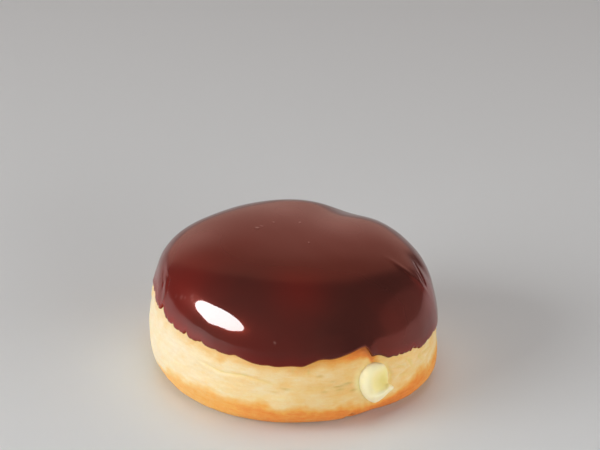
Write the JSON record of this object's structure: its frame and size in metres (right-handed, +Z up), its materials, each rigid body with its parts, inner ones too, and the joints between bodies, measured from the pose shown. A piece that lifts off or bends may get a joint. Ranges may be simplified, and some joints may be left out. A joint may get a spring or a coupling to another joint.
{
  "type": "boston cream doughnut",
  "caption": "Round filled doughnut with no hole: raised bun, glossy chocolate icing cap with a ragged edge, custard showing at the filling hole.",
  "frame": {"origin": "on the table under the middle of the doughnut's bounding box", "axes": "+Z up, through the crown; the filling hole faces azimuth -55 degrees, front right, between -Y and +X"},
  "size_m": [0.0922, 0.0908, 0.0463],
  "materials": {
    "dough": "soft dry crumb, golden brown at the foot and just under the icing",
    "chocolate_icing": "set glossy chocolate icing",
    "custard": "smooth moist custard"
  },
  "bodies": {
    "root": {"dough": "dough", "chocolate_icing": "chocolate_icing", "custard": "custard"}
  },
  "joints": []
}
